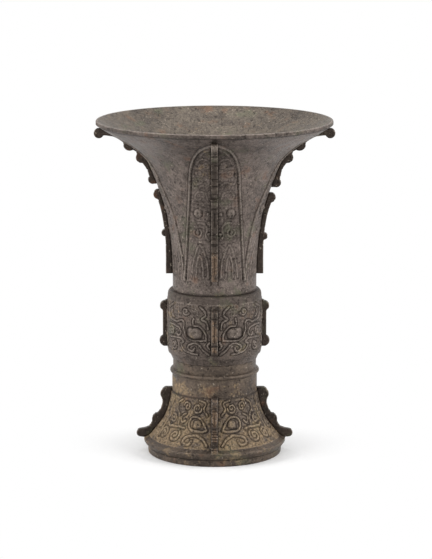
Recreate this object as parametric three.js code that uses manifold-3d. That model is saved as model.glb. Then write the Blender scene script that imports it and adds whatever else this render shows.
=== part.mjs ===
// A bronze gu vase: a flared trumpet neck, a drum-shaped knop and a spreading hollow foot,
// with notched and hooked flanges down its four sides.
// Millimetres, +Z up, the origin at the centre of the standing ring on the ground.

import * as THREE from "three";
import { mergeVertices } from "three/addons/utils/BufferGeometryUtils.js";
import Module from "manifold-3d";

const wasm = await Module();
wasm.setup();

// Facets round the axis, and clearances
const sides = 40;
const knobSides = 16;
const fit = 0.3;

// Neck casting
const height = 260;
const mouthRadius = 90.7;
const lipDepth = 2.7;
const neckWall = 2.9;
const neckFoot = 129;
const neckRadius = 32.3;
const spigotRadius = 30;
const spigotDepth = 8;
const spigotWall = 2.6;

// Knop casting
const knopBottom = 74.5;
const knopNeckRadius = 32.7;
const knopChamferRadius = 34.9;
const knopBarrelRadius = 36.7;
const knopShoulderRadius = 34.7;
const knopWall = 3.6;
const knopChamferTop = 79.5;
const knopSpigotRadius = 29.4;
const knopSpigotWall = 2.4;

// Foot casting
const standRadius = 51.9;
const standHeight = 4.6;
const footEdgeRadius = 55.1;
const footEdgeHeight = 9.9;
const footWall = 3.2;
const collarRadius = 32.9;
const collarBottom = 48.7;
const ringHeight = 64.9;
const ringRadius = 1.65;
const recessRadius = 32.2;
const plateThickness = 2.4;
const plateTop = 64.7;
const ledgeWidth = 3.7;
const ledgeThickness = 3;

// Flanges, all let into slots in the castings by a thin tongue
const flangeThickness = 4.8;
const tongueThickness = 2.2;
const tongueDepth = 1.2;
const neckFlangeGap = 12;
const neckFlangeBottom = neckFoot + neckFlangeGap;
const neckFlangeReach = 92.2;
const neckShaftReach = 37.5;
const notchHeight = 208.6;
const notchWidth = 4.6;
const knopFlangeBottom = 83.7;
const knopFlangeMargin = 8.8;
const knopFlangeTop = neckFoot - knopFlangeMargin;
const knopFlangeReach = 40;
const footFlangeTop = 50.8;
const footFlangeReach = 60.9;
const footHookHeight = 14.2;
const footHookRadius = 3;

const point = (radius, level) => new THREE.Vector2(radius, level);

// The neck and its flanges are drawn at this foot and length, and their levels stretch with the casting.
const drawnFoot = 129;
const drawnLength = 128.3;
const lipLevel = height - lipDepth;
const climb = (level) => neckFoot + ((level - drawnFoot) * (lipLevel - neckFoot)) / drawnLength;

// Solids
function solidOf(geometry) {
  const bare = new THREE.BufferGeometry();
  bare.setAttribute("position", geometry.getAttribute("position"));
  bare.setIndex(geometry.getIndex());
  const merged = mergeVertices(bare, 1e-4);
  const corners = merged.getAttribute("position").array;
  const index = merged.getIndex().array;
  const faces = [];
  let volume = 0;
  const corner = (n) => new THREE.Vector3().fromArray(corners, 3 * n);
  for (let i = 0; i < index.length; i += 3) {
    const [a, b, c] = index.slice(i, i + 3);
    if (a === b || b === c || c === a) continue;
    faces.push(a, b, c);
    volume += corner(a).dot(corner(b).cross(corner(c)));
  }
  if (volume < 0) faces.reverse();
  const vertProperties = Float32Array.from(corners);
  const triVerts = Uint32Array.from(faces);
  return new wasm.Manifold(new wasm.Mesh({ numProp: 3, vertProperties, triVerts }));
}

// A profile of radius and height turned about the axis.
function turned(profile) {
  const lathe = new THREE.LatheGeometry(profile, sides);
  return solidOf(lathe.rotateX(Math.PI / 2));
}

// An outline of radius and height made into an upright plate on the +X side.
function plate(outline, thickness) {
  const options = { depth: thickness, bevelEnabled: false };
  const slab = new THREE.ExtrudeGeometry(new THREE.Shape(outline), options);
  slab.translate(0, 0, -thickness / 2);
  return solidOf(slab.rotateX(Math.PI / 2));
}

// A round knob of a flange, given by how far out it reaches.
function knob(reach, level, radius, thickness) {
  const cylinder = new THREE.CylinderGeometry(radius, radius, thickness, knobSides);
  return solidOf(cylinder.translate(reach - radius, 0, level));
}

// The outside line moved outwards along its normal, or inwards where distance is negative.
function offset(line, distance) {
  return line.map((here, i) => {
    const before = line[Math.max(i - 1, 0)];
    const after = line[Math.min(i + 1, line.length - 1)];
    const along = after.clone().sub(before).normalize();
    return point(here.x + along.y * distance, here.y - along.x * distance);
  });
}

// Everything inside an outside line that is moved by distance.
function filled(line, distance) {
  const moved = offset(line, distance);
  const start = point(0, moved[0].y);
  const end = point(0, moved[moved.length - 1].y);
  return turned([start, ...moved, end]);
}

// Outside lines of the three castings, from the bottom up
const neckLine = new THREE.SplineCurve([
  point(neckRadius, neckFoot),
  point(neckRadius + 0.2, climb(151)),
  point(neckRadius + 1.8, climb(169.8)),
  point(neckRadius + 4.7, climb(188.6)),
  point(neckRadius + 10.5, climb(207.2)),
  point(neckRadius + 17.8, climb(225.8)),
  point(neckRadius + 24.3, climb(235.1)),
  point(mouthRadius - 24.7, climb(243)),
  point(mouthRadius - 11.7, climb(250)),
  point(mouthRadius, lipLevel),
]).getPoints(18);

const knopLine = new THREE.SplineCurve([
  point(knopBarrelRadius - 0.5, knopChamferTop + 2.6),
  point(knopBarrelRadius, 105),
  point(knopBarrelRadius - 0.4, neckFoot - 6),
  point(knopBarrelRadius - 0.8, neckFoot - 2.2),
]).getPoints(4);
knopLine.unshift(point(knopNeckRadius, knopBottom), point(knopChamferRadius, knopChamferTop));
knopLine.push(point(knopShoulderRadius, neckFoot - fit));

const footFlare = new THREE.SplineCurve([
  point(footEdgeRadius - 4.1, 12.6),
  point(46.9, 17.4),
  point(40.1, 26.6),
  point(36.5, 34.3),
  point(34.6, 41.5),
  point(collarRadius + 0.5, collarBottom - 0.3),
]).getPoints(7);

const ringArc = new THREE.EllipseCurve(
  collarRadius, ringHeight, ringRadius, ringRadius, -Math.PI / 2, Math.PI / 2,
).getPoints(4);

const footTop = knopBottom - fit;
const footLine = [
  point(standRadius, 0),
  point(standRadius, standHeight),
  point(standRadius + 0.6, standHeight + 0.8),
  point(footEdgeRadius, footEdgeHeight - 0.9),
  point(footEdgeRadius, footEdgeHeight + 0.7),
  ...footFlare,
  point(collarRadius, collarBottom + 0.3),
  ...ringArc,
  point(recessRadius, ringHeight + ringRadius + 0.4),
  point(recessRadius, footTop),
];

// Castings
function makeNeck() {
  const inside = offset(neckLine, -neckWall).slice(2, -1).reverse();
  const spigotBottom = neckFoot - spigotDepth;
  const bore = spigotRadius - spigotWall;
  const spigot = [point(bore, neckFoot + 3), point(bore, spigotBottom), point(spigotRadius, spigotBottom)];
  const lip = [
    point(mouthRadius, height - 0.7),
    point(mouthRadius - 0.7, height),
    point(mouthRadius - 1.8, height),
  ];
  const start = point(spigotRadius, neckFoot);
  return turned([start, ...neckLine, ...lip, ...inside, ...spigot, start]);
}

function makeKnop() {
  const socket = spigotRadius + fit;
  const socketBottom = neckFoot - spigotDepth - fit;
  const bore = knopSpigotRadius - knopSpigotWall;
  const spigotBottom = plateTop + fit;
  const room = knopBarrelRadius - knopWall;
  const start = point(knopSpigotRadius, spigotBottom);
  return turned([
    start,
    point(knopSpigotRadius, knopBottom),
    ...knopLine,
    point(socket, neckFoot - fit),
    point(socket, socketBottom),
    point(room - 0.3, socketBottom - 3.5),
    point(room, 100),
    point(room - 0.7, 86),
    point(bore, knopBottom + 2),
    point(bore, spigotBottom),
    start,
  ]);
}

function makeFoot() {
  const socket = knopSpigotRadius + fit;
  const ledgeTop = plateTop - plateThickness - fit;
  const opening = socket - ledgeWidth;
  const inside = offset(footFlare, -footWall).reverse();
  const start = footLine[0];
  return turned([
    ...footLine,
    point(socket, footTop),
    point(socket, ledgeTop),
    point(opening, ledgeTop),
    point(opening, ledgeTop - ledgeThickness),
    point(collarRadius - footWall, ledgeTop - ledgeThickness - 3),
    ...inside,
    point(standRadius - footWall, footEdgeHeight),
    point(standRadius - footWall, 0),
    start,
  ]);
}

function makePlate() {
  const radius = knopSpigotRadius;
  const bottom = plateTop - plateThickness;
  return turned([point(0, bottom), point(radius, bottom), point(radius, plateTop), point(0, plateTop)]);
}

// From the axis to well outside the casting, between two levels.
function stripOutline(line, bottom, top) {
  const reach = 2 * Math.max(...line.map((here) => here.x));
  return [point(1, bottom), point(reach, bottom), point(reach, top), point(1, top)];
}

// Flanges. Each is a blade on the casting, with round knobs, and a tongue that runs in its slot.
function seated(blades, line, bottom, top) {
  const strip = plate(stripOutline(line, bottom, top), tongueThickness);
  const bridge = strip.intersect(filled(line, -fit));
  const blade = (thickness) => blades(thickness).reduce((whole, piece) => whole.add(piece));
  const root = blade(tongueThickness).intersect(strip);
  const tongue = root.add(bridge).subtract(filled(line, -tongueDepth));
  return blade(flangeThickness).subtract(filled(line, fit)).add(tongue);
}

// The slot is longer, wider and deeper than the tongue by the clearance.
function slot(line, bottom, top) {
  const strip = plate(stripOutline(line, bottom - fit, top + fit), tongueThickness + 2 * fit);
  return strip.subtract(filled(line, -tongueDepth - fit));
}

const neckTongueTop = climb(252);

// The notch that parts the neck's lower and upper blades is a little lower on some sides.
function neckBlades(drop) {
  const notch = climb(notchHeight - drop);
  const lower = new THREE.SplineCurve([
    point(neckShaftReach, neckFlangeBottom),
    point(neckShaftReach, climb(164)),
    point(neckShaftReach + 1.4, climb(178)),
    point(neckShaftReach + 3.4, climb(190 - drop / 2)),
    point(neckShaftReach + 6.2, notch - 9),
    point(neckShaftReach + 7.4, notch - notchWidth / 2),
  ]).getPoints(9);
  const upper = new THREE.SplineCurve([
    point(46.4, notch + notchWidth / 2),
    point(49.9, notch + 8),
    point(51.7, climb(222)),
    point(55.4, climb(227.4)),
    point(60.4, climb(235.8)),
    point(66.5, climb(240)),
    point(72.6, climb(244.9)),
    point(78.5, climb(247.6)),
    point(neckFlangeReach - 4, climb(248.4)),
  ]).getPoints(14);
  const lowerOutline = [point(20, neckFlangeBottom), ...lower, point(20, notch - notchWidth / 2)];
  const upperOutline = [
    point(30, notch + notchWidth / 2),
    ...upper,
    point(neckFlangeReach - 4, climb(251.5)),
    point(80, climb(256)),
    point(60, climb(256)),
  ];
  return (thickness) => [
    plate(upperOutline, thickness),
    knob(neckFlangeReach, climb(249.7), 3.8, thickness),
    knob(69.8, climb(241.2), 4.9, thickness),
    knob(60.2, climb(231), 4.1, thickness),
    knob(50.9, notch + 5.6, 3.5, thickness),
    plate(lowerOutline, thickness),
    knob(46.9, notch - 5.9, 3.8, thickness),
    knob(40.8, climb(172.6 - drop), 2.6, thickness),
  ];
}

function knopBlades(thickness) {
  const reach = knopFlangeReach;
  const outline = [
    point(20, knopFlangeBottom),
    point(reach - 0.6, knopFlangeBottom),
    point(reach, knopFlangeBottom + 2),
    point(reach, knopFlangeTop - 3),
    point(reach - 2.4, knopFlangeTop),
    point(20, knopFlangeTop),
  ];
  return [
    plate(outline, thickness),
    knob(reach + 2.6, knopFlangeBottom + 4.4, 4.4, thickness),
    knob(reach + 2.2, knopFlangeTop - 4.8, 4, thickness),
  ];
}

function footBlades(thickness) {
  const outer = new THREE.SplineCurve([
    point(38.4, footFlangeTop),
    point(41.4, 47.8),
    point(41, 41.5),
    point(40.5, 38),
    point(42.6, 33),
    point(47.2, 27),
    point(49.2, 22.4),
    point(52, 18.6),
    point(footFlangeReach - footHookRadius, footHookHeight + footHookRadius),
  ]).getPoints(14);
  const outline = [
    point(20, footFlangeTop),
    ...outer,
    point(footFlangeReach - footHookRadius, footHookHeight - footHookRadius),
    point(50, footHookHeight - footHookRadius - 1),
    point(20, footHookHeight - footHookRadius - 1),
  ];
  return [
    plate(outline, thickness),
    knob(42.2, 45.2, 3.8, thickness),
    knob(49.3, 25.4, 4.4, thickness),
    knob(footFlangeReach, footHookHeight, footHookRadius, thickness),
  ];
}

// The tongues stop short of the blades' own ends.
const knopTongue = [knopFlangeBottom + 1, knopFlangeTop - 1];
const footTongue = [footHookHeight + 1, footFlangeTop - 1];

// Four sides: name, turn about the axis in degrees, and how much lower the neck's notch is
const flangeSides = [
  { side: "right", turn: 0, drop: 2.6 },
  { side: "back", turn: 90, drop: 1.2 },
  { side: "left", turn: 180, drop: 0 },
  { side: "front", turn: 270, drop: 1.2 },
];

const bodyBronze = new THREE.MeshStandardMaterial({ color: 0x75665a, metalness: 0.7, roughness: 0.5 });
const flangeBronze = new THREE.MeshStandardMaterial({ color: 0x4a3d33, metalness: 0.7, roughness: 0.5 });
const plateBronze = new THREE.MeshStandardMaterial({ color: 0x5e4c3b, metalness: 0.6, roughness: 0.7 });

function meshOf(name, solid, material) {
  const { vertProperties, triVerts } = solid.getMesh();
  const geometry = new THREE.BufferGeometry();
  geometry.setAttribute("position", new THREE.BufferAttribute(vertProperties, 3));
  geometry.setIndex(new THREE.BufferAttribute(triVerts, 1));
  geometry.computeVertexNormals();
  const mesh = new THREE.Mesh(geometry, material);
  mesh.name = name;
  return mesh;
}

// A casting with a slot for a flange on each of its four sides.
function slotted(casting, line, bottom, top) {
  const cutter = slot(line, bottom, top);
  const cut = (solid, { turn }) => solid.subtract(cutter.rotate([0, 0, turn]));
  return flangeSides.reduce(cut, casting);
}

const vase = new THREE.Group();
vase.add(
  meshOf("neck", slotted(makeNeck(), neckLine, neckFlangeBottom, neckTongueTop), bodyBronze),
  meshOf("knop", slotted(makeKnop(), knopLine, ...knopTongue), bodyBronze),
  meshOf("foot", slotted(makeFoot(), footLine, ...footTongue), bodyBronze),
  meshOf("base_plate", makePlate(), plateBronze),
);

for (const { side, turn, drop } of flangeSides) {
  const strips = {
    neck_flange: seated(neckBlades(drop), neckLine, neckFlangeBottom, neckTongueTop),
    knop_flange: seated(knopBlades, knopLine, ...knopTongue),
    foot_flange: seated(footBlades, footLine, ...footTongue),
  };
  for (const [name, strip] of Object.entries(strips)) {
    const flange = meshOf(`${name}_${side}`, strip, flangeBronze);
    flange.rotation.z = THREE.MathUtils.degToRad(turn);
    vase.add(flange);
  }
}

export default vase;
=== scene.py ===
# %% [markdown]
# A bronze gu vase
# The vase has a trumpet neck, a drum-shaped knop and a spreading foot, cast in bronze, with notched flanges
# down its four sides. Its solids come first and are a fixed frame. Blender could model the vase afresh, but
# then the two models would drift apart. So each casting is dressed in place: it gets its low relief and its
# patina here, and nothing is moved or resized.

# %% Load the frame
import math

import bpy
import numpy as np
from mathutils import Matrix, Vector


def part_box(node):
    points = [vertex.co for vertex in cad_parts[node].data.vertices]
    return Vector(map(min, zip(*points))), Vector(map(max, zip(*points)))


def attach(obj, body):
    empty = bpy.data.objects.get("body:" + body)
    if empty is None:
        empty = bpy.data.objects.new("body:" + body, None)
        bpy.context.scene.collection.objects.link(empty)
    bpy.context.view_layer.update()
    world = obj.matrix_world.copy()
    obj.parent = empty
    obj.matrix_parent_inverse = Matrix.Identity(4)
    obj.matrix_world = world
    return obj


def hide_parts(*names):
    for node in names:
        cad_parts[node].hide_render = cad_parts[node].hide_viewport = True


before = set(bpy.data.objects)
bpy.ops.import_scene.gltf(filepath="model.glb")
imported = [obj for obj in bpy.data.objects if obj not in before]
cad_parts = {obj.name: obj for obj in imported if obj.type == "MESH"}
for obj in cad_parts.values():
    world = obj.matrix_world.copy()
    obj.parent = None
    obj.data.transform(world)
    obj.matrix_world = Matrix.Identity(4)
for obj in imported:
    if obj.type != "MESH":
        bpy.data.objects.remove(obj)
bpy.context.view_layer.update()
MM = 0.001
print("nodes", len(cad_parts))

# %% [markdown]
# The photograph looks down on the vase by 11 degrees, from about 1.9 m away, through a long lens. A long
# lens keeps the sides nearly parallel, which is why the neck looks so even. The picture is taller than it
# is wide, so the sensor's 36 mm lie along the picture's height.

# %% Camera
CAMERA_PLACE = Vector((1.1, -1833.8, 491.5)) * MM
CAMERA_PITCH = math.radians(10.98)
CAMERA_LENS = 155.65
SENSOR_WIDTH = 36
FARTHEST_SEEN = 20

camera_data = bpy.data.cameras.new("camera")
camera_data.lens = CAMERA_LENS
camera_data.sensor_width = SENSOR_WIDTH
camera_data.clip_end = FARTHEST_SEEN
camera = bpy.data.objects.new("camera", camera_data)
camera.location = CAMERA_PLACE
camera.rotation_euler = (math.pi / 2 - CAMERA_PITCH, 0, 0)
bpy.context.scene.collection.objects.link(camera)
bpy.context.scene.camera = camera
bpy.context.scene.view_settings.view_transform = "Standard"
print("camera", [round(metres, 3) for metres in camera.location], "lens", camera_data.lens)

# %% [markdown]
# A shader is a graph of nodes. Its maths could be wired by hand, node by node, but it reads best as plain
# expressions. So a Value wraps the socket that a number comes from, and each operator adds a Math node.


# %% Values
def plug(socket, item):
    """Links a Value to a socket, or writes a constant on it."""
    if isinstance(item, Value):
        socket.id_data.links.new(item.socket, socket)
    else:
        socket.default_value = item


class Value:
    """A number, colour or direction that varies over a surface."""

    def __init__(self, socket):
        self.socket = socket

    def math(self, operation, first, second):
        made = self.socket.id_data.nodes.new("ShaderNodeMath")
        made.operation = operation
        plug(made.inputs[0], first)
        plug(made.inputs[1], second)
        return Value(made.outputs[0])

    def __add__(self, other):
        return self.math("ADD", self, other)

    def __radd__(self, other):
        return self.math("ADD", other, self)

    def __sub__(self, other):
        return self.math("SUBTRACT", self, other)

    def __rsub__(self, other):
        return self.math("SUBTRACT", other, self)

    def __mul__(self, other):
        return self.math("MULTIPLY", self, other)

    def __rmul__(self, other):
        return self.math("MULTIPLY", other, self)


print("a Value takes + - and *, from either side")

# %% [markdown]
# Every other node comes from one method, node, which takes the node's type, its settings and its inputs.
# The short methods below it name the few nodes that this bronze needs. A Finish is a graph that belongs to
# a material, and what is the same all over the surface is written on its shader as a constant.


# %% Graphs and finishes
class Graph:
    """A node tree, and the nodes that a finish or the surroundings need."""

    def __init__(self, tree):
        self.nodes = tree.nodes

    def node(self, kind, settings, inputs, output=0):
        made = self.nodes.new(kind)
        for name, item in settings.items():
            setattr(made, name, item)
        for name, item in inputs.items():
            plug(made.inputs[name], item)
        return Value(made.outputs[output])

    def place(self):
        """Where a point lies on the object, in metres."""
        return self.node("ShaderNodeTexCoord", {}, {}, output="Object")

    def noise(self, spots, detail=4.0, roughness=0.55):
        """Cloudy noise around 0.5, with so many spots to the metre."""
        inputs = {"Vector": self.place(), "Scale": spots, "Detail": detail, "Roughness": roughness}
        return self.node("ShaderNodeTexNoise", {}, inputs)

    def step(self, value, low, high):
        """A soft step from 0 at low to 1 at high."""
        inputs = {"Value": value, "From Min": low, "From Max": high}
        return self.node("ShaderNodeMapRange", {"interpolation_type": "SMOOTHSTEP"}, inputs)

    def mix(self, share, first, second):
        """The first colour, with a share of the second over it."""
        inputs = {0: share, 6: first, 7: second}
        return self.node("ShaderNodeMix", {"data_type": "RGBA"}, inputs, output=2)

    def mark(self, name):
        """A mark that is stored on the mesh's points."""
        return self.node("ShaderNodeAttribute", {"attribute_name": name}, {}, output="Fac")

    def bump(self, height, strength, distance):
        """Normals for a surface too fine to be modelled."""
        inputs = {"Height": height, "Strength": strength, "Distance": distance}
        return self.node("ShaderNodeBump", {}, inputs, output="Normal")

    def seen(self):
        """1 for rays from the camera and for reflections, 0 for the light that falls on the vase."""
        kinds = ("Is Camera Ray", "Is Glossy Ray", "Is Transmission Ray")
        straight, glossy, through = (self.node("ShaderNodeLightPath", {}, {}, output=kind) for kind in kinds)
        return straight + glossy + through

    def close(self, share, first, second):
        """Ends the tree with a mix of two shaders."""
        mixed = self.node("ShaderNodeMixShader", {}, {0: share, 1: first, 2: second})
        end = [node for node in self.nodes if node.bl_idname.startswith("ShaderNodeOutput")][0]
        plug(end.inputs["Surface"], mixed)


class Finish(Graph):
    """A material with its main shader."""

    def __init__(self, name, constants):
        self.material = bpy.data.materials.new(name)
        self.material.use_nodes = True
        super().__init__(self.material.node_tree)
        self.shader = self.nodes["Principled BSDF"]
        self.set(constants)

    def set(self, sockets):
        for name, item in sockets.items():
            plug(self.shader.inputs[name], item)


print("a graph offers", [name for name in vars(Graph) if not name.startswith("_")])

# %% [markdown]
# Old bronze has no single colour. Its patina is brown, mottled between a dark and a light brown, with
# patches of rust and verdigris, and brownish yellow earth that never came off. Grime fills the grooves,
# and handling polishes what stands out. A painted texture could show this, but noise at several scales
# gives the same mottling with no picture, and it stays sharp however near one looks.

# %% Colours of the bronze
BROWN = (0.04, 0.031, 0.026, 1)
GREY_BROWN = (0.198, 0.16, 0.14, 1)
KNOP_BROWN = (0.142, 0.113, 0.096, 1)
FOOT_BROWN = (0.13, 0.099, 0.075, 1)
MOUTH_BROWN = (0.144, 0.12, 0.095, 1)
# The flanges take black brown and dark brown; part of their darkness is painted shade.
BLACK_BROWN = (0.022, 0.017, 0.014, 1)
DARK_BROWN = (0.066, 0.05, 0.04, 1)
WORN = (0.27, 0.23, 0.195, 1)
BEIGE = (0.36, 0.28, 0.19, 1)
# Grime, pits and painted shade share this near-black colour.
GRIME_AND_SHADE = (0.012, 0.009, 0.007, 1)
EARTH = (0.29, 0.205, 0.118, 1)
RED_EARTH = (0.2, 0.125, 0.075, 1)
RUST = (0.15, 0.07, 0.036, 1)
VERDIGRIS = (0.10, 0.105, 0.066, 1)
PALE = (0.42, 0.36, 0.29, 1)

# Spots to the metre: 34 gives clouds about 30 mm wide, and 560 gives a grain of about 2 mm.
BROAD_SPOTS = 34
PATCH_SPOTS = 48
GREEN_SPOTS = 55
RUST_SPOTS = 75
EARTH_SPOTS = 110
CLOUDY_SPOTS = 150
LUMP_SPOTS = 240
MOUTH_EARTH_SPOTS = 260
PIT_SPOTS = 430
GRAIN_SPOTS = 560
PALE_SPOTS = 600
print("browns from", BLACK_BROWN[:3], "to", GREY_BROWN[:3])

# %% [markdown]
# One function makes every bronze of the vase, because they differ only in some colours and in how much
# earth lies on them. On the castings and flanges three marks of the mesh say where the surface is worn,
# where it is darkened by grime and painted shade, and where it is earthy. The insides and the floor plate
# have no relief, so they take a fixed share of earth instead. Pits and pale specks come last, and the bump
# follows the same noise as the colour.


# %% Bronze
def bronze(name, dark, light, earth_share=None, earth_spots=EARTH_SPOTS, soil=EARTH, rubbed=WORN):
    """Patinated bronze. Without an earth_share the marks of the mesh say where earth, wear, and grime with
    painted shade are.
    """
    finish = Finish(name, {"IOR": 1.45, "Specular IOR Level": 0.2})
    broad = finish.step(finish.noise(BROAD_SPOTS), 0.40, 0.62)
    cloudy = finish.step(finish.noise(CLOUDY_SPOTS, 6, 0.7), 0.40, 0.60)
    fine = finish.noise(GRAIN_SPOTS, 6, 0.8)
    grain = finish.step(fine, 0.40, 0.60)
    colour = finish.mix(0.25 * broad + 0.3 * cloudy + 0.45 * grain, dark, light)
    rust = finish.step(finish.noise(RUST_SPOTS, 5), 0.58, 0.72)
    colour = finish.mix(0.4 * rust, colour, RUST)
    green = finish.step(finish.noise(GREEN_SPOTS, 4, 0.6), 0.56, 0.70)
    colour = finish.mix(0.5 * green, colour, VERDIGRIS)
    laid = finish.mark("earth") if earth_share is None else earth_share
    patches = 0.62 + 0.55 * finish.step(finish.noise(PATCH_SPOTS, 3), 0.42, 0.60)
    earth = finish.step(finish.noise(earth_spots, 7, 0.75) + 0.3 * patches * laid, 0.62, 0.74)
    colour = finish.mix(0.8 * earth * (0.2 + 0.8 * grain), colour, soil)
    rough = 0.38 + 0.14 * cloudy + 0.24 * earth
    if earth_share is None:
        # This mark holds grime, and also painted shade beside the flanges, in corners, beside the blade
        # borders and in the flanges' cuts.
        grime = finish.mark("grime")
        worn = finish.mark("worn")
        colour = finish.mix(0.65 * worn * finish.step(fine, 0.34, 0.58), colour, rubbed)
        colour = finish.mix(0.92 * grime, colour, GRIME_AND_SHADE)
        rough = rough + 0.25 * grime
    pits = finish.step(finish.noise(PIT_SPOTS, 3, 0.6), 0.41, 0.33)
    colour = finish.mix(0.6 * pits, colour, GRIME_AND_SHADE)
    specks = finish.step(finish.noise(PALE_SPOTS, 2, 0.5), 0.68, 0.72)
    colour = finish.mix(0.5 * specks, colour, PALE)
    height = 0.6 * fine + 0.4 * finish.noise(LUMP_SPOTS, 5, 0.6) - 0.5 * pits
    normal = finish.bump(height, 0.85, 1 * MM)
    finish.set({"Base Color": colour, "Metallic": 0.5 - 0.4 * earth, "Roughness": rough, "Normal": normal})
    return finish.material


neck_bronze = bronze("neck_bronze", BROWN, GREY_BROWN)
knop_bronze = bronze("knop_bronze", BROWN, KNOP_BROWN)
foot_bronze = bronze("foot_bronze", BROWN, FOOT_BROWN, rubbed=BEIGE)
mouth_bronze = bronze("mouth_bronze", BROWN, MOUTH_BROWN, earth_share=0.12, earth_spots=MOUTH_EARTH_SPOTS)
# The flanges' near-black browns are partly painted shade, darker than the body's patina.
flange_bronze = bronze("flange_bronze", BLACK_BROWN, DARK_BROWN, soil=RED_EARTH)
plate_bronze = bronze("plate_bronze", BROWN, FOOT_BROWN, earth_share=0.5)
print("bronzes", [material.name for material in bpy.data.materials if material.name.endswith("bronze")])

# %% [markdown]
# Neck, knop and foot are round, so each is drawn as a meridian: one line of radius and height, in
# millimetres. A few stations are enough, because a smooth line runs through them, and points are then
# set along it at an even spacing. Blender's Screw modifier could turn such a line round the axis, but the
# relief needs each point by itself, so the next cell does the turning in code.


# %% Meridians
def spline(stations, count):
    """A smooth line through the stations."""
    knots = np.array(stations, float)
    padded = np.vstack([knots[0], knots, knots[-1]])
    t = np.linspace(0, len(knots) - 1, count)
    i = np.minimum(t.astype(int), len(knots) - 2)
    w = (t - i)[:, None]
    a, b, c, d = (padded[i + k] for k in range(4))
    tangent_b = (c - a) / 2
    tangent_c = (d - b) / 2
    return (
        b
        + tangent_b * w
        + (3 * (c - b) - 2 * tangent_b - tangent_c) * w**2
        + (2 * (b - c) + tangent_b + tangent_c) * w**3
    )


def even(line, spacing):
    """The line again, with points about spacing apart."""
    line = np.array(line, float)
    walked = np.concatenate([[0], np.cumsum(np.linalg.norm(np.diff(line, axis=0), axis=1))])
    kept = np.unique(np.concatenate([np.arange(0, walked[-1], spacing), [walked[-1]]]))
    return np.column_stack([np.interp(kept, walked, line[:, k]) for k in (0, 1)])


def outward(line):
    """Unit normals of a line that runs upwards on the outside."""
    along = np.gradient(line, axis=0)
    along /= np.linalg.norm(along, axis=1)[:, None]
    return np.column_stack([along[:, 1], -along[:, 0]])


def levels_of(node):
    """The lowest and highest level of a solid in millimetres, to a micron."""
    lowest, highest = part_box(node)
    return round(lowest[2] / MM, 3), round(highest[2] / MM, 3)


for node in ("foot", "knop", "neck"):
    print(node, "from", levels_of(node)[0], "to", levels_of(node)[1], "mm")

# %% [markdown]
# The relief is real geometry, so that it casts shadows and shows at the edges, which a bump can't do.
# A displacement modifier could raise it from an image. Here each point of the turned grid moves out along
# its normal by a height that is worked out from the ornament, which needs no image. The finer the grid,
# the sharper the relief, so each casting has as many columns as its share of triangles allows.

# %% Turned castings
MOST_TRIANGLES = 196000
SHARP_EDGE = math.radians(42)

# Columns come in eights, so that all four sides of the vase are divided alike.
COLUMN_STEP = 8


def mark_points(mesh, marks):
    """Stores each point's shares of wear, of grime and painted shade, and of earth."""
    for key, values in marks.items():
        layer = mesh.attributes.new(key, "FLOAT", "POINT")
        layer.data.foreach_set("value", values.astype(np.float32).ravel())


def grid_faces(rows, columns):
    """The four-sided faces of a grid that closes on itself both ways, and each face's row."""
    row, column = np.meshgrid(np.arange(rows), np.arange(columns), indexing="ij")
    up = (row + 1) % rows
    beside = (column + 1) % columns
    corners = [row * columns + column, row * columns + beside, up * columns + beside, up * columns + column]
    return np.stack(corners, axis=-1).reshape(-1, 4), row.reshape(-1)


def turn(name, outside, inside, ornament, materials):
    """Turns a closed meridian into a mesh, with the ornament's relief on the outside rows."""
    rows = len(outside) + len(inside)
    columns = MOST_TRIANGLES // (2 * rows) // COLUMN_STEP * COLUMN_STEP
    angles = np.linspace(0, 2 * math.pi, columns, endpoint=False)
    radius = outside[:, :1] + np.zeros(columns)
    level = outside[:, 1:] + np.zeros(columns)
    height, worn, grime, earth = ornament(angles[None, :], outside[:, 1:], outside[:, :1])
    normals = outward(outside)
    blank = np.zeros((len(inside), columns))
    radius = np.vstack([radius + height * normals[:, :1], inside[:, :1] + blank])
    level = np.vstack([level + height * normals[:, 1:], inside[:, 1:] + blank])
    points = np.stack([radius * np.sin(angles), -radius * np.cos(angles), level], axis=-1).reshape(-1, 3) * MM
    faces, face_rows = grid_faces(rows, columns)
    mesh = bpy.data.meshes.new(name)
    mesh.from_pydata(points.tolist(), [], faces.tolist())
    for material in materials:
        mesh.materials.append(material)
    mesh.polygons.foreach_set("material_index", (face_rows >= len(outside) - 1).astype(np.int32))
    marks = {"worn": worn, "grime": grime, "earth": earth}
    whole = {key: np.vstack([share + np.zeros_like(height), blank]) for key, share in marks.items()}
    mark_points(mesh, whole)
    mesh.shade_smooth()
    mesh.set_sharp_from_angle(angle=SHARP_EDGE)
    piece = bpy.data.objects.new(name, mesh)
    bpy.context.scene.collection.objects.link(piece)
    print(name, "columns", columns, "faces", len(faces))
    return piece


print("triangles to a casting, at most", MOST_TRIANGLES)

# %% [markdown]
# The ornament is drawn with strokes, as a mould maker cuts it: hooks, scrolls and spirals. Curve objects
# could be laid on the surface, but a cast line grows out of the metal and has no edge of its own. So a
# stroke is a list of points in millimetres, along the surface from the nearest flange and in height, and
# each grid point is raised by how near it is to a stroke.

# %% Strokes
ARC_POINTS = 10
POINTS_TO_A_TURN = 14
WOUND_IN = 0.85
WANDER = 0.16
FAR_AWAY = 99.0
ALMOST_NOTHING = 1e-9


def arc(centre, size, start, end):
    """Points on an arc, from one angle to another in degrees."""
    angles = np.radians(np.linspace(start, end, ARC_POINTS))
    return [(centre[0] + size * math.cos(a), centre[1] + size * math.sin(a)) for a in angles]


def scroll(centre, size, start, turns):
    """A spiral that winds in to its centre."""
    share = np.linspace(0, 1, int(POINTS_TO_A_TURN * turns))
    angles = math.radians(start) + share * turns * 2 * math.pi
    reach = size * (1 - WOUND_IN * share)
    return [(centre[0] + r * math.cos(a), centre[1] + r * math.sin(a)) for r, a in zip(reach, angles)]


def curved(points):
    """A smooth stroke through a few points."""
    return [tuple(p) for p in spline(points, 4 * len(points))]


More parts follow.
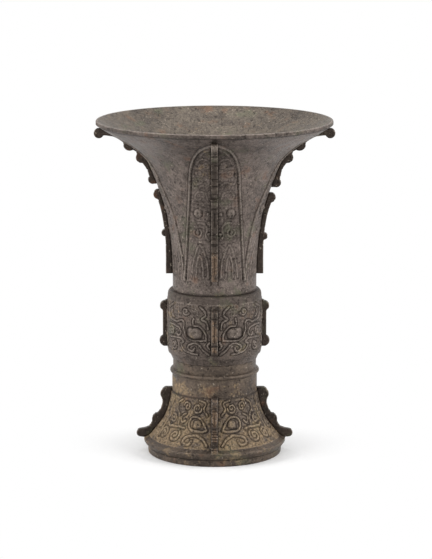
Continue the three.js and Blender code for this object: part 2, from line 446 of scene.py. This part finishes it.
def distance_to(strokes, u, v):
    """How far each point of the grid lies from the nearest stroke."""
    nearest = np.full(np.broadcast(u, v).shape, FAR_AWAY)
    for stroke in strokes:
        for (ax, ay), (bx, by) in zip(stroke[:-1], stroke[1:]):
            span = (bx - ax) ** 2 + (by - ay) ** 2 + ALMOST_NOTHING
            t = np.clip(((u - ax) * (bx - ax) + (v - ay) * (by - ay)) / span, 0, 1)
            nearest = np.minimum(nearest, np.hypot(u - ax - t * (bx - ax), v - ay - t * (by - ay)))
    return nearest


def hand_cut(u, v):
    """The coordinates with a slight wander, because the lines are cut by hand."""
    sideways = WANDER * np.sin(0.9 * v + 1.3 * np.sin(0.5 * u))
    upwards = WANDER * np.sin(0.8 * u + 1.1 * np.sin(0.6 * v))
    return u + sideways, v + upwards


print("points in a scroll of one turn", len(scroll((0, 0), 1, 0, 1)))

# %% [markdown]
# A stroke becomes relief through its cross-section. The raised part is a rounded thread, and a narrow
# groove runs along each side of it, where grime gathers. The ground between the strokes carries the fine
# square spirals that such vases have, and the eyes are rounded bosses.

# %% Threads, grooves and bosses
THREAD_WIDTH = 0.8
GROOVE_GAP = 0.4
GROOVE_WIDTH = 0.42
SPIRAL_PITCH = 2.6
SPIRAL_RINGS = 2.4
FLANGE_LINE = 2.7
FLANGE_LINE_WIDTH = 0.55


def smooth(x, low, high):
    """A soft step from 0 at low to 1 at high."""
    t = np.clip((x - low) / (high - low), 0, 1)
    return t * t * (3 - 2 * t)


def within(x, low, high, soft):
    """1 between low and high, with soft ends."""
    return smooth(x, low, low + soft) * smooth(x, high, high - soft)


def soft_line(x, place, width):
    """1 at a place, falling off to both sides."""
    return np.exp(-(((x - place) / width) ** 2))


def thread(distance, width=THREAD_WIDTH):
    """1 on a stroke, 0 past its edge."""
    return 1 - smooth(distance, 0.35 * width, 1.1 * width)


def groove(distance, width=THREAD_WIDTH):
    """1 in the groove beside a stroke."""
    return soft_line(distance, width + GROOVE_GAP, GROOVE_WIDTH)


def thunder(u, v, pitch=SPIRAL_PITCH):
    """The fine ground of square spirals, from -1 to 1."""
    across = np.abs((u / pitch) % 1 - 0.5)
    along = np.abs((v / pitch) % 1 - 0.5)
    return np.cos(2 * math.pi * SPIRAL_RINGS * np.maximum(across, along))


def boss(u, v, centre, width, height, square=2.0):
    """A rounded boss: its share of its full height, and each point's reach, which is 1 at the boss's edge."""
    sideways = np.abs((u - centre[0]) / width) ** square
    upwards = np.abs((v - centre[1]) / height) ** square
    reach = (sideways + upwards) ** (1 / square)
    return 1 - smooth(reach, 0.62, 1.0), reach


# Painted shade: a dark line in the corner beside each flange.
def flange_root_shade(u, level, low, high):
    """1 on the line of painted shade where a flange meets the casting."""
    return soft_line(u, FLANGE_LINE, FLANGE_LINE_WIDTH) * (level > low) * (level < high)


def folded(angles, period):
    """The turn from the nearest flange, where flanges are a period apart."""
    return np.abs((angles + period / 2) % period - period / 2)


print("thread", THREAD_WIDTH, "mm, groove", GROOVE_WIDTH, "mm, spirals every", SPIRAL_PITCH, "mm")

# %% [markdown]
# Knop and foot carry the old animal mask of such vases, front and back: two eyes to the sides of a nose,
# which is the flange, with horns above, jaws below and legs behind. Both masks are alike, and their halves
# mirror each other, so only half a mask is drawn and one function raises it.

# %% Masks
MASK_THREAD = 0.55
MASK_GROOVE = 0.42
MASK_RIM = 0.3
EYE_RISE = 0.8
EYE_SQUARE = 3.2
PUPIL_DEPTH = 0.28
GROUND_RISE = 0.16


def mask_relief(u, v, strokes, eye, eye_size, inside):
    """Height in millimetres, and the worn and grimy shares, of half a mask."""
    u, v = hand_cut(u, v)
    near = distance_to(strokes, u, v)
    ridge = thread(near) * (0.8 + 0.2 * np.sin(0.8 * u + 1.1 * v))
    cut = groove(near)
    share, reach = boss(u, v, eye, *eye_size, square=EYE_SQUARE)
    dome = EYE_RISE * share
    rim = soft_line(reach, 1.12, 0.11)
    pupil = soft_line(np.hypot(u - eye[0], v - eye[1]), 0, 1.0)
    plain = np.maximum(smooth(near, 4.2, 2.0), smooth(reach, 1.5, 1.2))
    ground = inside * (1 - plain) * thunder(u, v)
    height = inside * (MASK_THREAD * ridge * (reach > 1) - MASK_GROOVE * cut - MASK_RIM * rim) + inside * dome
    height = height - PUPIL_DEPTH * inside * pupil + GROUND_RISE * ground
    worn = inside * np.clip(0.8 * ridge + 0.42 * dome + 0.25 * np.clip(ground, 0, 1), 0, 1)
    grime = inside * np.clip(0.85 * cut * (1 - ridge) + rim + 0.45 * pupil + 0.42 * (ground < -0.2), 0, 1)
    return height, worn, grime


print("eyes stand", EYE_RISE, "mm out, threads", MASK_THREAD, "mm")

# %% [markdown]
# The knop is the drum in the middle of the vase. Half a mask fills a quarter of its band: a square eye in
# its socket, a horn curling above, a jaw scroll below, and a leg behind.

# %% Knop ornament
KNOP_BARREL = 36.7
BAND_BOTTOM = 82.4
BAND_TOP = 122.8
KNOP_EYE = (16.0, 100.2)
KNOP_EYE_SIZE = (5.9, 4.3)

KNOP_STROKES = [
    curved([(6.2, 95.0), (6.6, 99.0), (8.5, 102.8), (11.7, 105.6), (16.6, 106.4), (16.6, 111.6)]),
    curved([
        (33.0, 107.6), (26.0, 109.2), (25.2, 102.0), (23.2, 97.4), (19.0, 95.0), (12.4, 94.6), (6.2, 95.0),
    ]),
    curved([(38.0, 120.6), (43.2, 118.0), (44.0, 113.0), (40.6, 108.8), (33.0, 107.6)]),
    curved([(38.6, 116.2), (39.6, 113.0), (36.6, 110.8)]),
    curved([(43.4, 104.6), (34.6, 104.4), (29.8, 102.6), (28.4, 99.2), (31.2, 97.0), (33.6, 99.2)]),
    scroll((39.6, 99.6), 3.4, 45, 1.3),
    curved([(44.0, 94.2), (34.0, 95.0), (28.8, 95.0), (25.8, 93.0), (28.6, 91.4)]),
    curved([(28.6, 91.4), (27.0, 88.0), (23.6, 85.4), (17.4, 84.2), (13.6, 83.6)]),
    scroll((37.4, 88.6), 4.0, 120, 1.4),
    curved([
        (4.6, 84.0), (9.0, 87.6), (11.6, 91.0), (16.4, 92.4), (20.8, 90.4), (21.2, 87.2), (17.6, 86.2),
        (15.8, 88.6),
    ]),
    curved([(3.4, 93.4), (5.4, 91.0), (3.6, 88.4)]),
    curved([(11.4, 121.0), (7.8, 118.0), (6.8, 114.4), (9.8, 111.6), (5.8, 109.0), (5.0, 104.0)]),
    scroll((23.6, 116.6), 3.2, 200, 1.3),
    curved([(50.6, 119.0), (53.6, 112.0), (51.0, 104.0), (53.8, 96.0), (50.6, 86.0)]),
    scroll((50.0, 110.6), 2.4, 0, 1.1),
    scroll((50.6, 92.0), 2.6, 180, 1.2),
]


def knop_ornament(angles, level, radius):
    """Relief in millimetres, then the shares of wear, of grime and painted shade, and of earth, round the
    knop.
    """
    u = folded(angles, math.pi) * KNOP_BARREL
    inside = within(level, BAND_BOTTOM, BAND_TOP, 0.5)
    height, worn, grime = mask_relief(u, level + 0 * u, KNOP_STROKES, KNOP_EYE, KNOP_EYE_SIZE, inside)
    # Painted shade along the flange roots, and a darker band above the relief, join the grime mark.
    dark_top_and_flange_shade = 0.3 * smooth(level, 122.4, 123.4) + flange_root_shade(u, level, 83, 122)
    earth = 0.25 * inside + 0 * u
    return height + 0.12 * inside, worn, np.clip(grime + dark_top_and_flange_shade, 0, 1), earth


print("knop strokes", len(KNOP_STROKES))

# %% [markdown]
# The drum stands on a chamfer and ends in a rounded shoulder. Above it is the socket that takes the
# neck's spigot, and below it the spigot that goes into the foot. Nothing shows of these, but the solid has
# them, so the casting that stands for it has them too.

# %% Knop casting
KNOP_FOOT = 74.5
KNOP_SPIGOT = 29.4
KNOP_BORE = 27
KNOP_NECK = 32.7
KNOP_CHAMFER = 34.9
KNOP_SOCKET = 30.3
RELIEF_SPACING = 0.46

knop_low, knop_high = levels_of("knop")
knop_outside = np.vstack([
    even([(KNOP_SPIGOT, KNOP_FOOT), (KNOP_NECK, KNOP_FOOT)], 0.8),
    even([(KNOP_NECK, 74.6), (KNOP_CHAMFER, 79.5)], 0.5),
    even(
        spline([(35.0, 79.7), (36.2, 82.1), (KNOP_BARREL, 105), (36.3, 123), (35.9, 126.8)], 60),
        RELIEF_SPACING,
    ),
    even([(35.7, 127.3), (34.7, 128.6), (KNOP_SOCKET, knop_high)], 0.6),
])
knop_inside = np.array([
    (KNOP_SOCKET, 120.7),
    (32.8, 117.2),
    (33.1, 100),
    (32.4, 86),
    (KNOP_BORE, 76.5),
    (KNOP_BORE, knop_low),
    (KNOP_SPIGOT, knop_low),
])
knop = turn("knop_casting", knop_outside, knop_inside, knop_ornament, [knop_bronze, mouth_bronze])
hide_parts("knop")

# %% [markdown]
# The foot repeats the mask on a flaring surface. The mask is drawn for a radius of 40 mm and widens with
# the flare, as one carved into a mould would. The eye is a small boss with a pupil. Earth lies thick on the
# flare and in a band round the collar, more of it on the left. The rings have no ornament.

# %% Foot ornament
FLARE_BOTTOM = 12.6
FLARE_TOP = 48.3
FLARE_RADIUS = 40.0
FLARE_WIDEST = 53
FOOT_EYE = (14.0, 29.4)
FOOT_EYE_SIZE = (3.4, 2.8)

FOOT_STROKES = [
    curved([
        (5.6, 25.4), (8.4, 29.6), (12.4, 33.8), (18.0, 34.6), (21.6, 30.6), (19.0, 25.8), (12.4, 24.6),
        (5.6, 25.4),
    ]),
    curved([(6.0, 36.0), (9.2, 40.4), (8.0, 45.4), (14.0, 47.0)]),
    scroll((15.4, 41.2), 4.2, 180, 1.5),
    scroll((25.6, 41.8), 3.6, 0, 1.4),
    curved([(26.0, 36.4), (30.2, 33.6), (28.4, 29.6), (25.2, 31.6)]),
    curved([
        (5.0, 15.6), (8.4, 20.0), (14.2, 22.0), (20.6, 20.2), (21.8, 16.6), (17.6, 15.6), (15.8, 18.0),
    ]),
    curved([(31.6, 46.6), (36.4, 43.4), (37.2, 38.0), (33.0, 34.6), (31.8, 28.0)]),
    scroll((39.0, 31.0), 3.6, 60, 1.4),
    curved([(45.0, 46.0), (47.6, 39.0), (44.8, 33.0), (47.6, 26.0), (45.4, 17.0)]),
    scroll((30.4, 20.4), 4.2, 140, 1.5),
    scroll((41.6, 20.2), 4.0, 20, 1.5),
    curved([(24.6, 26.0), (31.0, 26.4), (39.6, 25.6), (43.4, 27.4)]),
    scroll((53.6, 37.6), 3.0, 220, 1.3),
    scroll((54.2, 24.4), 3.6, 100, 1.4),
]


def foot_ornament(angles, level, radius):
    """Relief in millimetres, then the shares of wear, of grime and painted shade, and of earth, round the
    foot.
    """
    u = folded(angles, math.pi) * FLARE_RADIUS + 0 * level
    inside = within(level, FLARE_BOTTOM, FLARE_TOP, 0.5) * (radius < FLARE_WIDEST)
    height, worn, grime = mask_relief(u, level + 0 * u, FOOT_STROKES, FOOT_EYE, FOOT_EYE_SIZE, inside)
    # Painted shade: dark lines in the corner under the jutting edge, where the flare meets the collar, and
    # beside the flanges.
    dark_lines = soft_line(level, 5.2, 0.5) + soft_line(level, 48.7, 0.5)
    dark_lines = dark_lines + flange_root_shade(u * radius / FLARE_RADIUS, level, 12, 49)
    flare = 0.55 * inside + 0.45 * smooth(level, 32, 16) * inside
    collar = 0.6 * smooth(level, 48, 50) * smooth(level, 63, 58)
    edge = 0.35 * smooth(level, 13, 11)
    earth = flare + collar + edge - 0.18 * np.sin(angles)
    return height, worn, np.clip(grime + 0.8 * dark_lines, 0, 1), earth


print("foot strokes", len(FOOT_STROKES))

# %% [markdown]
# From the ground up the foot has a standing ring, an edge that juts out over it, the flare, a collar with
# a raised ring, and a recess under the knop. The foot is hollow, and a ledge inside it carries the floor
# plate.

# %% Foot casting
STANDING_RING = 51.9
STANDING_INSIDE = 48.7
FOOT_EDGE = 55.1
COLLAR = 32.9
RING_LEVEL = 64.9
RING_SIZE = 1.65
RECESS = 32.2
FOOT_SOCKET = 29.7
LEDGE = 26

foot_low, foot_high = levels_of("foot")
foot_flare = spline([(51, 12.6), (46.9, 17.4), (40.1, 26.6), (36.5, 34.3), (34.6, 41.5), (33.4, 48.4)], 80)
ring_angles = np.linspace(-math.pi / 2, math.pi / 2, 12)
ring_radius = COLLAR + RING_SIZE * np.cos(ring_angles)
ring_level = RING_LEVEL + RING_SIZE * np.sin(ring_angles)
foot_outside = np.vstack([
    even([(STANDING_INSIDE, foot_low), (51.5, foot_low)], 1),
    even([(51.85, 0.4), (STANDING_RING, 4.6), (52.5, 5.4)], 1),
    even([(52.7, 5.6), (54.9, 8.6)], 0.8),
    [(FOOT_EDGE, 9.1), (FOOT_EDGE, 10.4), (54.7, 10.9)],
    even([(54.2, 11.1), (51.2, 12.5)], 0.7),
    even(foot_flare, RELIEF_SPACING),
    even([(32.95, 48.9), (COLLAR, 63.1)], 1.1),
    np.column_stack([ring_radius, ring_level]),
    even([(RECESS, 66.9), (RECESS, 74.1)], 1.2),
])
foot_inside = np.array([
    (FOOT_SOCKET, foot_high),
    (FOOT_SOCKET, 62),
    (LEDGE, 62),
    (LEDGE, 59),
    (29.7, 56),
    (30.3, 48),
    (31.6, 41),
    (33.6, 33),
    (37.2, 25),
    (44.4, 15.4),
    (STANDING_INSIDE, 9.9),
])
foot = turn("foot_casting", foot_outside, foot_inside, foot_ornament, [foot_bronze, plate_bronze])
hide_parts("foot")

# %% [markdown]
# Four blades climb the neck, one behind each flange, like the leaves of a bud. A raised thread bounds each
# blade, and its round tip ends just under the lip. A blade's width is a formula of its height, so that
# tip, edge and ground all agree.

# %% Blades
BLADE_BOTTOM = 139.8
BLADE_SHOULDER = 214.0
BLADE_TOP = 250.8
BLADE_FOOT_HALF = 25.0
BLADE_SHOULDER_HALF = 19.2
TIP_ROUNDNESS = 2.6


def blade_half(level):
    """Half the width of a blade: it narrows slowly up to its shoulder, then closes in a round tip."""
    climb = np.clip((level - BLADE_BOTTOM) / (BLADE_SHOULDER - BLADE_BOTTOM), 0, 1)
    tip = np.clip((level - BLADE_SHOULDER) / (BLADE_TOP - BLADE_SHOULDER), 0, 1)
    straight = BLADE_FOOT_HALF + (BLADE_SHOULDER_HALF - BLADE_FOOT_HALF) * climb
    return straight * (1 - tip**TIP_ROUNDNESS) ** 0.5


def blade_outline():
    """The blade's edge as a stroke, with more points at the tip, where it closes fast."""
    levels = np.linspace(BLADE_BOTTOM, BLADE_TOP, 60)
    levels = np.concatenate([levels[:-1], BLADE_TOP - np.array([0.25, 0.08, 0.0])])
    return [(max(blade_half(level), 0.0), level) for level in levels]


print("blade", round(2 * BLADE_FOOT_HALF, 1), "mm wide below,", round(2 * BLADE_SHOULDER_HALF, 1), "mm above")

# %% [markdown]
# Inside its border a blade holds two pointed arches at the bottom, eyes in the middle, and scrolls up to
# the tip, and a second, fainter line follows the lower part of the border. All this is shallower than the
# masks, as on the photographed vase, where it is almost worn off. It is raised in the same way as they are.

# %% Neck ornament
NECK_STROKES = [
    curved([(4.6, 143), (5.4, 155), (8.2, 163), (11.2, 168.4), (14.6, 162), (17.4, 152), (18.4, 143)]),
    curved([(8.6, 143), (9.2, 154), (11.4, 160), (13.6, 154), (14.4, 143)]),
    arc((13.0, 178.0), 3.2, 130, 410),
    curved([(4.2, 172), (6.6, 176), (5.4, 181), (8.6, 185.4), (13.0, 185.6)]),
    curved([(5.0, 204), (6.6, 209.4), (11.4, 211), (14.8, 208), (13.6, 204.4), (10.6, 205.6)]),
    curved([(4.6, 216), (9.2, 218.4), (14.6, 216.4), (16.2, 221.0)]),
    scroll((11.6, 225.6), 3.2, 200, 1.4),
    scroll((6.2, 231.4), 2.8, 20, 1.3),
    curved([(4.8, 236.4), (10.0, 237.6), (13.8, 233.0)]),
    curved([(3.6, 246.2), (7.6, 244.0), (11.0, 240.2)]),
]
NECK_BOSSES = [((12.8, 193.4), 3.3), ((4.4, 192.6), 1.7), ((13.0, 178.0), 1.5), ((4.4, 177), 1.5)]
BORDER_WIDTH = 1.0
BLADE_THREAD_WIDTH = 0.7
SECOND_LINE = 3.2
SECOND_WIDTH = 0.6
BLADE_PITCH = 2.8

# Heights and depths of the relief, in millimetres.
BORDER_RISE = 0.9
BORDER_GROOVE = 0.3
SECOND_RISE = 0.3
BLADE_THREAD = 0.28
BLADE_GROOVE = 0.25
BOSS_RISE = 0.65
BOSS_RIM = 0.3
BLADE_GROUND = 0.11


def neck_bosses(u, v):
    """The bosses of a blade, and the rings cut round and into them."""
    bosses = np.zeros_like(u)
    rims = np.zeros_like(u)
    for centre, size in NECK_BOSSES:
        dome, reach = boss(u, v, centre, size, size)
        bosses = np.maximum(bosses, dome)
        rims = np.maximum(rims, soft_line(reach, 1.15, 0.16) + 0.7 * soft_line(reach, 0, 0.3))
    return bosses, rims


def neck_ornament(angles, level, radius):
    """Relief in millimetres, then the shares of wear, of grime and painted shade, and of earth, round the
    neck.
    """
    u = folded(angles, math.pi / 2) * radius
    v = level + 0 * u
    half = blade_half(level)
    edge = distance_to([blade_outline()], u, v)
    blade = smooth(half - u, 0, 0.6) * (level > BLADE_BOTTOM) * (level < BLADE_TOP)
    border = thread(edge, BORDER_WIDTH)
    border_cut = groove(edge, BORDER_WIDTH)
    second = thread(np.abs(u - half + SECOND_LINE), SECOND_WIDTH)
    second = second * smooth(level, 176, 158) * (level > BLADE_BOTTOM)
    near = distance_to(NECK_STROKES, *hand_cut(u, v))
    ridge = thread(near, BLADE_THREAD_WIDTH) * blade
    cut = groove(near, BLADE_THREAD_WIDTH) * blade
    bosses, rims = neck_bosses(u, v)
    ground = blade * smooth(near, 1.2, 2.0) * thunder(u, v, BLADE_PITCH)
    height = BORDER_RISE * border - BORDER_GROOVE * border_cut + SECOND_RISE * second
    height = height + BLADE_THREAD * ridge - BLADE_GROOVE * cut
    height = height + BOSS_RISE * bosses * blade - BOSS_RIM * rims * blade + BLADE_GROUND * ground
    worn = np.clip(0.9 * border + 0.4 * ridge + 0.6 * bosses + 0.4 * second, 0, 1)
    # The groove beside each blade's raised border is darkened as painted shade; the grooves beside strokes
    # and round the bosses hold grime.
    grime = 0.8 * border_cut + 0.55 * cut + 0.8 * rims * blade + 0.38 * blade * (ground < -0.2)
    # Painted shade runs along each flange root.
    grime = grime + flange_root_shade(u, level, 137, 250)
    # Painted shade darkens the corner where the neck meets the knop. A dark line runs under the lip, and the
    # lip's face is darker.
    dark_lines = soft_line(level, 129.4, 0.5)
    dark_lines = dark_lines + 0.7 * soft_line(level, 256.6, 0.5) + 0.4 * smooth(level, 257.0, 257.4)
    bright_lip = 0.5 * smooth(level, 259.3, 259.8)
    earth = 0.3 * blade * smooth(level, 200, 225)
    return height, np.clip(worn + bright_lip, 0, 1), np.clip(grime + dark_lines - bright_lip, 0, 1), earth


print("neck strokes", len(NECK_STROKES), "bosses", len(NECK_BOSSES))

# %% [markdown]
# The neck rises almost straight and then opens like a trumpet. Its wall is thin, so the inside line is the
# outside line moved in by the wall's thickness. The lip is rounded, and a spigot below goes into the knop.

# %% Neck casting
NECK_FOOT = 129
NECK_WALL = 2.9
NECK_SPIGOT = 30
NECK_BORE = 27.4
MOUTH = 90.7
NECK_SPACING = 0.92
INSIDE_SPACING = 4.0

neck_low, neck_high = levels_of("neck")
neck_stations = [
    (32.3, NECK_FOOT),
    (32.5, 151),
    (34.1, 169.8),
    (37, 188.6),
    (42.8, 207.2),
    (50.1, 225.8),
    (56.6, 235.1),
    (66, 243),
    (79, 250),
    (MOUTH, 257.3),
]
neck_line = spline(neck_stations, 300)
lip = np.array([(MOUTH, 258.0), (MOUTH, 259.2), (90.45, 259.75), (89.9, neck_high), (88.9, 259.95)])
neck_outside = np.vstack([[(NECK_SPIGOT, NECK_FOOT)], even(neck_line, NECK_SPACING), lip])
inner = even(neck_line, INSIDE_SPACING)
inner = inner - NECK_WALL * outward(inner)
inner = inner[(inner[:, 1] > 134) & (inner[:, 1] < 258.6)][::-1]
neck_inside = np.vstack([inner, [(NECK_BORE, 132), (NECK_BORE, neck_low), (NECK_SPIGOT, neck_low)]])
neck = turn("neck_casting", neck_outside, neck_inside, neck_ornament, [neck_bronze, mouth_bronze])
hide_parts("neck")

# %% [markdown]
# The flanges are flat bars with hooks, knobs and notches, and their outer faces are cut into blocks. Rows
# of cuts cross the face, and a ruled line runs down the middle of the longer blocks. The cuts are only
# half a millimetre deep, so they are worked out as a depth for each point of the mesh.

# %% Cuts of the flanges
SIDE_TURNS = {"front": 0, "right": 90, "back": 180, "left": 270}
FLANGE_HALF = 2.4
CUT_WIDTH = 0.42
RULED_WIDTH = 0.5

FLANGE_CUTS = {
    "neck": ([163, 170, 176.5, 198, 204, 216, 221.5, 227.5, 235.5, 241], [(146, 160), (182, 195)]),
    "knop": ([91.6, 112.6], [(93, 111), (86, 90.4), (114, 118)]),
    "foot": ([15.5, 17.3, 19.1, 20.9, 22.7, 24.5, 26.3, 40.5], [(29, 39)]),
}
FLANGE_EARTH = {"neck": 0.7, "knop": 0.6, "foot": 1.0}


def bar_cuts(level, across, cuts, ruled):
    """The share of their full depth that the cuts have on a flange's outer face."""
    depth = np.zeros_like(level)
    for place in cuts:
        depth = np.maximum(depth, soft_line(level, place, CUT_WIDTH))
    for low, high in ruled:
        depth = np.maximum(depth, 0.8 * within(level, low, high, 0.8) * soft_line(across, 0, RULED_WIDTH))
    return depth


print("cuts", {part: len(cuts) for part, (cuts, ruled) in FLANGE_CUTS.items()})

# %% [markdown]
# A cast and handled flange has no hard edge. A bevel would have to find its way round every hook, so the
# solid's own mesh is copied, remeshed in small voxels and smoothed a little, which rounds every edge
# alike.

# %% Soft edges
VOXEL = 0.42
SMOOTHING_PASSES = 3


def rounded(name, solid):
    """A copy of a solid with soft edges."""
    piece = bpy.data.objects.new(name, solid.data.copy())
    bpy.context.scene.collection.objects.link(piece)
    remesh = piece.modifiers.new("remesh", "REMESH")
    remesh.mode = "VOXEL"
    remesh.voxel_size = VOXEL * MM
    rounding = piece.modifiers.new("rounding", "SMOOTH")
    rounding.factor = 0.5
    rounding.iterations = SMOOTHING_PASSES
    evaluated = piece.evaluated_get(bpy.context.evaluated_depsgraph_get())
    mesh = bpy.data.meshes.new_from_object(evaluated)
    piece.modifiers.clear()
    piece.data = mesh
    return piece


def read_points(mesh, what):
    """The places or the normals of a mesh's points."""
    numbers = np.empty(3 * len(mesh.vertices))
    mesh.vertices.foreach_get(what, numbers)
    return numbers.reshape(-1, 3)


print("voxels", VOXEL, "mm, smoothed", SMOOTHING_PASSES, "times")

# %% [markdown]
# The twelve flanges differ in their solids and in the cuts of their row, so one function casts them all.
# Smoothing has shrunk each a little, so its points move out again by about as much, and the cuts go in.
# The foot's flanges have a deeper hollow between their lobes. Hands wear a flange along its outer corners,
# grime and painted shade darken its cuts, and earth clings to the lower flanges.

# %% Flanges
REGAIN = 0.12
CUT_DEPTH = 0.55
HOLLOW_DEPTH = 1.8
HOLLOW_LEVEL = 29.5
HOLLOW_WIDTH = 3.6


def flange_marks(part, level, across, facing, depth):
    """Where a flange is worn, where grime and painted shade darken its cuts, and where it is earthy."""
    face = smooth(facing, 0.45, 0.85)
    edge = smooth(np.abs(across), FLANGE_HALF - 1.0, FLANGE_HALF - 0.4) * smooth(facing, 0.2, 0.6)
    handled = 0.1 * face + 0.55 * edge
    if part == "neck":
        handled = handled + 0.45 * face * smooth(level, 236, 241)
    earthy = face * smooth(level, 171, 168) * FLANGE_EARTH[part]
    # The cuts are darkened with grime and with painted shade.
    return {"worn": np.clip(handled, 0, 1), "grime": np.clip(0.95 * depth, 0, 1), "earth": earthy}


def cast_flange(part, side):
    """A flange made from its solid, with cuts on its outer face."""
    node = f"{part}_flange_{side}"
    piece = rounded(f"{part}_flange_cast_{side}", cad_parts[node])
    mesh = piece.data
    spots = read_points(mesh, "co")
    normals = read_points(mesh, "normal")
    turned = math.radians(SIDE_TURNS[side])
    out = np.array([math.sin(turned), -math.cos(turned), 0])
    beside = np.array([math.cos(turned), math.sin(turned), 0])
    across = spots @ beside / MM
    facing = np.clip(normals @ out, 0, 1)
    level = spots[:, 2] / MM
    depth = bar_cuts(level, across, *FLANGE_CUTS[part]) * smooth(facing, 0.3, 0.7)
    raised = REGAIN - CUT_DEPTH * depth
    if part == "foot":
        hollow = smooth(facing, 0.2, 0.6) * soft_line(level, HOLLOW_LEVEL, HOLLOW_WIDTH)
        raised = raised - HOLLOW_DEPTH * hollow
    spots = spots + normals * (MM * raised)[:, None]
    mesh.vertices.foreach_set("co", spots.ravel())
    mark_points(mesh, flange_marks(part, spots[:, 2] / MM, across, facing, depth))
    mesh.materials.clear()
    mesh.materials.append(flange_bronze)
    mesh.shade_smooth()
    mesh.update()
    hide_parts(node)
    return piece


flanges = [cast_flange(part, side) for part in FLANGE_CUTS for side in SIDE_TURNS]
print("flanges", len(flanges), "vertices", sum(len(flange.data.vertices) for flange in flanges))

# %% [markdown]
# The floor plate lies deep inside, where the mouth narrows into shadow. It is a plain disc, so the solid
# itself stays, and only its material slot changes. Every other piece rides on the vase's one body.

# %% Floor plate
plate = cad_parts["base_plate"]
for material_slot in plate.material_slots:
    material_slot.material = plate_bronze

for piece in [neck, knop, foot, *flanges]:
    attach(piece, "root")
print("plate slots", len(plate.material_slots), "pieces on the body", 3 + len(flanges))

# %% [markdown]
# The photograph shows the vase on plain white. Here it stands on a pale sweep, a floor that bends up into
# a wall. A bright lamp could wash it out to white, but would light the vase as well. So it is an ordinary
# pale surface for the light that falls on it, and keeps the shadow round the foot, while the camera and
# the reflections see it turn pure white a little way from the foot.

# %% Floor and backdrop
FLOOR_HALF = 3.0
SWEEP_BACK = 2.2
SWEEP_RADIUS = 0.8
SWEEP_TOP = 3.0
SWEEP_POINTS = 16
PALE_GREY = (0.77, 0.77, 0.77, 1)
WHITE_NEAR = 0.03
WHITE_FAR = 0.13


def white_sweep():
    """A pale floor that keeps the shadow round the foot, and turns pure white away from it."""
    finish = Finish("white_sweep", {"Base Color": PALE_GREY, "Roughness": 0.9})
    away = finish.node("ShaderNodeVectorMath", {"operation": "LENGTH"}, {0: finish.place()}, output="Value")
    white = finish.node("ShaderNodeEmission", {}, {"Strength": 1.0})
    share = finish.seen() * finish.step(away, WHITE_NEAR, WHITE_FAR)
    finish.close(share, Value(finish.shader.outputs[0]), white)
    return finish.material


def make_sweep():
    """A flat floor, a round bend and a wall."""
    angles = np.linspace(0, math.pi / 2, SWEEP_POINTS)
    line = [(-FLOOR_HALF, 0.0)]
    line += [(SWEEP_BACK + SWEEP_RADIUS * math.sin(a), SWEEP_RADIUS * (1 - math.cos(a))) for a in angles]
    line += [(SWEEP_BACK + SWEEP_RADIUS, SWEEP_TOP)]
    points = [(x, y, z) for y, z in line for x in (-FLOOR_HALF, FLOOR_HALF)]
    faces = [(2 * i, 2 * i + 1, 2 * i + 3, 2 * i + 2) for i in range(len(line) - 1)]
    mesh = bpy.data.meshes.new("sweep")
    mesh.from_pydata(points, [], faces)
    mesh.materials.append(white_sweep())
    mesh.shade_smooth()
    sweep = bpy.data.objects.new("sweep", mesh)
    bpy.context.scene.collection.objects.link(sweep)
    return sweep


print("sweep faces", len(make_sweep().data.polygons))

# %% [markdown]
# Two large soft lights stand at the sides and one hangs above. Their size keeps the shadows soft. The front
# stays dim, so the middle of the vase is darker than its flanks, as in the photograph.

# %% Lights
LIGHTS = {
    "left_soft": ((-1.5, -0.5, 0.9), 1.1, 31),
    "right_soft": ((1.5, -0.5, 0.9), 1.1, 31),
    "top_soft": ((0.0, 0.1, 1.9), 1.2, 21),
}
AIM = Vector((0, 0, 0.13))

for name, (place, size, watts) in LIGHTS.items():
    data = bpy.data.lights.new(name, "AREA")
    data.size = size
    data.energy = watts
    light = bpy.data.objects.new(name, data)
    light.location = place
    light.rotation_euler = (AIM - Vector(place)).to_track_quat("-Z", "Y").to_euler()
    bpy.context.scene.collection.objects.link(light)
print("lights", list(LIGHTS))

# %% [markdown]
# The world fills the shadows with a weak even light. Like the floor, it looks pure white to the camera and
# in reflections, so the background is white from every side, and worn bronze still has white to reflect.

# %% World
WORLD_FILL = 0.34

world = bpy.data.worlds.new("studio")
world.use_nodes = True
bpy.context.scene.world = world
air = Graph(world.node_tree)
fill = air.node("ShaderNodeBackground", {}, {"Color": (1, 1, 1, 1), "Strength": WORLD_FILL})
white = air.node("ShaderNodeBackground", {}, {"Color": (1, 1, 1, 1), "Strength": 1.0})
air.close(air.seen(), fill, white)
print("world fill", WORLD_FILL)

# %% [markdown]
# The dressed vase has to keep the size of its solids.
